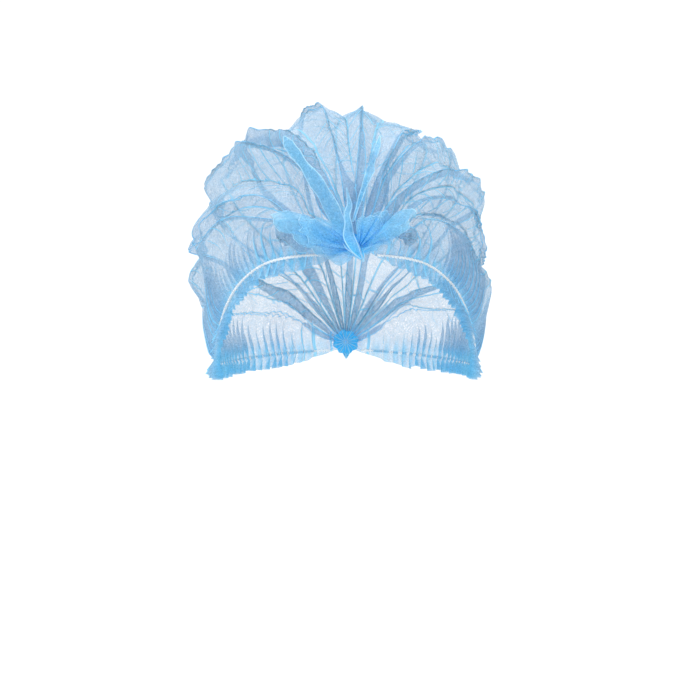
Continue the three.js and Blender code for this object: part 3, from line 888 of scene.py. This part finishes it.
def makeFold(name, fold):
    stops = np.array(fold["stops"], float)
    steps = np.linspace(0, len(stops) - 1, fold["rows"])
    line = np.stack([np.interp(steps, range(len(stops)), stops[:, k]) for k in range(3)], -1)
    for _ in range(10):
        line[1:-1] = (line[:-2] + 2 * line[1:-1] + line[2:]) / 4
    along = unit(np.gradient(line[:, :2], axis=0))
    beside = np.stack([along[:, 1], -along[:, 0]], -1)
    beside *= np.sign(beside[:, :1])  # towards the right of the photo
    turn = np.linspace(0, -2 * np.pi, foldSeat["around"], endpoint=False)
    across = np.sign(np.cos(turn)) * np.abs(np.cos(turn)) ** 0.75
    front = sheetPlaces[sheetPlaces[:, 1] < 0]
    ground = []
    for x, z, _ in line:
        near = front[np.hypot(front[:, 0] - x, front[:, 2] - z) < foldSeat["sheetReach"]]
        ground.append(near[:, 1].min() if len(near) else (ground or [foldSeat["startFront"]])[-1])
    ground = np.array(ground)
    for _ in range(6):
        ground[1:-1] = (ground[:-2] + 2 * ground[1:-1] + ground[2:]) / 4
    uneven = np.array([noise.noise(Vector((k * 0.11, stops[0, 0], 4.4))) for k in range(len(line))])
    place = np.zeros((len(line), len(turn), 3))
    half = line[:, 2] * (1 + 0.25 * uneven)
    place[..., 0] = line[:, :1] + beside[:, :1] * half[:, None] * across
    place[..., 2] = line[:, 1:2] + beside[:, 1:] * half[:, None] * across
    flat = np.clip(half / fold["stops"][2][2], 0, 1)[:, None]
    ground = np.minimum(ground, np.interp(line[:, 1], foldSeat["knotHeights"], foldSeat["knotFronts"]))
    place[..., 1] = ground[:, None] - fold["proud"] * flat
    place[..., 1] -= fold["thick"] * (0.5 + 0.5 * np.sin(turn)) * flat
    place[..., 1] -= fold["lift"] * across * flat * (1 + uneven[:, None])
    rough = smoothNoise(place.reshape(-1, 3), 7, 7.7).reshape(place.shape[:2])
    place[..., 1] += 1.2 * rough * flat
    creaseAndShadeMarks = {
        # lighter lines along both edges of the fold, partly painted highlight, and along its crumples
        "foldAndHighlightDistance": np.minimum((1 - np.abs(across)) * half[:, None], np.abs(rough) * 20 + 0.4),
        "pressPhase": 0.5,
        "pressPatch": 0,
        # deeper blue towards the knot and down the fold's left side: painted shade, with bunched cloth near
        # the knot
        "bunchingShade": np.clip(0.75 - 2.2 * np.linspace(0, 1, len(line)), 0, 1)[:, None] * (0.7 - 0.5 * across),
    }
    return gridPiece(name, place, creaseAndShadeMarks, foldNonwoven, closed=True)


for name, fold in folds.items():
    piece = makeFold(name, fold)
    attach(piece, "root")
print("knots, frills and folds made")

# elastic thread under a zigzag of white stitching
elastic = {
    "outside": 1.5,  # how far outside its route in the solids it lies, on the cloth
    "thread": 0.4,
    "stitchWidth": 0.74,
    "stitchThread": 0.2,
    "stitches": 250,
    "slant": 0.6,
}


def elasticMaterial():
    material = bpy.data.materials.new("whiteElastic")
    material.use_nodes = True
    n = Nodes(material.node_tree)
    shader = material.node_tree.nodes["Principled BSDF"]
    place = n.add("ShaderNodeTexCoord").outputs["Object"]
    fuzz = n.add("ShaderNodeTexNoise", {"Vector": place, "Scale": 2600.0, "Detail": 3.0}).outputs[0]
    tint = n.mix(fuzz, (0.92, 0.98, 1.0, 1), (1.0, 1.0, 1.0, 1))
    raised = n.add("ShaderNodeBump", {"Height": fuzz, "Strength": 0.4, "Distance": 0.0002}).outputs[0]
    material.node_tree.links.new(tint, shader.inputs["Base Color"])
    material.node_tree.links.new(raised, shader.inputs["Normal"])
    shader.inputs["Roughness"].default_value = 0.55
    shader.inputs["Sheen Weight"].default_value = 0.2
    return material


# geometry nodes: a thread along the route, with a slanted loop of stitching at every step
def stitchTree(material):
    tree = bpy.data.node_groups.new("stitchedElastic", "GeometryNodeTree")
    tree.interface.new_socket("Geometry", in_out="INPUT", socket_type="NodeSocketGeometry")
    for name, kind in (
        ("Thread", "NodeSocketFloat"),
        ("Stitch Width", "NodeSocketFloat"),
        ("Stitch Thread", "NodeSocketFloat"),
        ("Stitches", "NodeSocketInt"),
        ("Slant", "NodeSocketFloat"),
    ):
        tree.interface.new_socket(name, in_out="INPUT", socket_type=kind)
    tree.interface.new_socket("Geometry", in_out="OUTPUT", socket_type="NodeSocketGeometry")
    n = Nodes(tree)
    given = n.add("NodeGroupInput").outputs
    route = n.add("GeometryNodeMeshToCurve", {"Mesh": given["Geometry"]}).outputs[0]
    evenRoute = n.add("GeometryNodeResampleCurve", {"Curve": route, "Count": given["Stitches"]}).outputs[0]
    circle = "GeometryNodeCurvePrimitiveCircle"
    roundThread = n.add(circle, {"Resolution": 8, "Radius": given["Thread"]}).outputs[0]
    core = n.add(
        "GeometryNodeCurveToMesh", {"Curve": evenRoute, "Profile Curve": roundThread, "Fill Caps": True}
    ).outputs[0]
    loop = n.add(circle, {"Resolution": 10, "Radius": given["Stitch Width"]}).outputs[0]
    fine = n.add(circle, {"Resolution": 4, "Radius": given["Stitch Thread"]}).outputs[0]
    stitch = n.add("GeometryNodeCurveToMesh", {"Curve": loop, "Profile Curve": fine}).outputs[0]
    along = n.add("GeometryNodeInputTangent").outputs[0]
    facing = n.add("FunctionNodeAlignRotationToVector", {"Vector": along}, axis="Z").outputs[0]
    index = n.add("GeometryNodeInputIndex").outputs[0]
    odd = n.math("MULTIPLY_ADD", n.math("MODULO", index, 2.0), 2.0, -1.0)
    lean = n.add("ShaderNodeCombineXYZ", {"X": n.math("MULTIPLY", odd, given["Slant"])}).outputs[0]
    turned = n.add(
        "FunctionNodeRotateRotation",
        {"Rotation": facing, "Rotate By": n.add("FunctionNodeEulerToRotation", {0: lean}).outputs[0]},
        rotation_space="LOCAL",
    ).outputs[0]
    loops = n.add(
        "GeometryNodeInstanceOnPoints", {"Points": evenRoute, "Instance": stitch, "Rotation": turned}
    ).outputs[0]
    joined = n.add("GeometryNodeJoinGeometry")
    tree.links.new(core, joined.inputs[0])
    tree.links.new(loops, joined.inputs[0])
    real = n.add("GeometryNodeRealizeInstances", {"Geometry": joined.outputs[0]}).outputs[0]
    smooth = n.add("GeometryNodeSetShadeSmooth", {"Geometry": real}).outputs[0]
    coloured = n.add("GeometryNodeSetMaterial", {"Geometry": smooth, "Material": material}).outputs[0]
    n.add("NodeGroupOutput", {0: coloured})
    return tree


def makeElastic(side, name, tree):
    share = np.linspace(0, 1, 200)
    at, out, _ = alongElastic(side, share)
    route = (at + out * elastic["outside"]) * mm
    mesh = bpy.data.meshes.new(name + "_route")
    mesh.from_pydata(route.tolist(), [(i, i + 1) for i in range(len(route) - 1)], [])
    routePiece = bpy.data.objects.new(name + "_route", mesh)
    bpy.context.scene.collection.objects.link(routePiece)
    modifier = routePiece.modifiers.new("stitches", "NODES")
    modifier.node_group = tree
    sizes = {
        "Thread": elastic["thread"] * mm,
        "Stitch Width": elastic["stitchWidth"] * mm,
        "Stitch Thread": elastic["stitchThread"] * mm,
        "Stitches": elastic["stitches"],
        "Slant": elastic["slant"],
    }
    for socket in tree.interface.items_tree:
        if socket.in_out == "INPUT" and socket.name in sizes:
            modifier[socket.identifier] = sizes[socket.name]
    seen = routePiece.evaluated_get(bpy.context.evaluated_depsgraph_get())
    piece = bpy.data.objects.new(name, bpy.data.meshes.new_from_object(seen))
    bpy.data.objects.remove(routePiece)
    bpy.context.scene.collection.objects.link(piece)
    return piece


stitching = stitchTree(elasticMaterial())
for side, node in ((-1, "elastic_left"), (1, "elastic_right")):
    piece = makeElastic(side, node + "_stitched", stitching)
    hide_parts(node)
    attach(piece, "root")
    print(f"{piece.name}: {len(piece.data.polygons)} faces")


# studio
world = bpy.data.worlds.new("studio")
bpy.context.scene.world = world
world.use_nodes = True
world.node_tree.nodes["Background"].inputs[0].default_value = (1, 1, 1, 1)
world.node_tree.nodes["Background"].inputs[1].default_value = 0.4

studio = {"floorDrop": 420, "wallBack": 1500, "bend": 500, "halfWidth": 4000, "front": -4000, "top": 4000}


# a pale floor that curves up into a wall
def makeBackdrop():
    profile = [(studio["front"], 0)]
    for i in range(25):
        angle = math.pi / 2 * i / 24
        profile.append((
            studio["wallBack"] - studio["bend"] + studio["bend"] * math.sin(angle),
            studio["bend"] * (1 - math.cos(angle)),
        ))
    profile.append((studio["wallBack"], studio["top"]))
    places, faces = [], []
    for y, z in profile:
        for side in (-1, 1):
            places.append((side * studio["halfWidth"] * mm, y * mm, (z - studio["floorDrop"]) * mm))
    for i in range(len(profile) - 1):
        faces.append((2 * i, 2 * i + 1, 2 * i + 3, 2 * i + 2))
    mesh = bpy.data.meshes.new("backdrop")
    mesh.from_pydata(places, [], faces)
    mesh.polygons.foreach_set("use_smooth", [True] * len(faces))
    backdrop = bpy.data.objects.new("backdrop", mesh)
    paper = bpy.data.materials.new("palePaper")
    paper.use_nodes = True
    paper.node_tree.nodes["Principled BSDF"].inputs["Base Color"].default_value = (0.93, 0.94, 0.95, 1)
    paper.node_tree.nodes["Principled BSDF"].inputs["Roughness"].default_value = 0.9
    mesh.materials.append(paper)
    bpy.context.scene.collection.objects.link(backdrop)


makeBackdrop()
lights = [
    {"name": "keyLight", "place": (-900, -1300, 900), "size": 900, "power": 17},
    {"name": "fillLight", "place": (1100, -1100, 300), "size": 1200, "power": 8},
    {"name": "topLight", "place": (0, 300, 1500), "size": 1500, "power": 7},
    {"name": "wallLight", "place": (0, 500, 1700), "size": 2500, "power": 20, "aim": (0, 1400, 300)},
]
for light in lights:
    lamp = bpy.data.lights.new(light["name"], "AREA")
    lamp.size = light["size"] * mm
    lamp.energy = light["power"]
    holder = bpy.data.objects.new(light["name"], lamp)
    holder.location = Vector(light["place"]) * mm
    aim = Vector(light.get("aim", (0, 0, -80))) * mm
    holder.rotation_euler = (aim - holder.location).to_track_quat("-Z", "Y").to_euler()
    bpy.context.scene.collection.objects.link(holder)
bpy.context.scene.view_settings.view_transform = "Standard"
bpy.context.scene.cycles.transparent_max_bounces = 64
print("studio made")
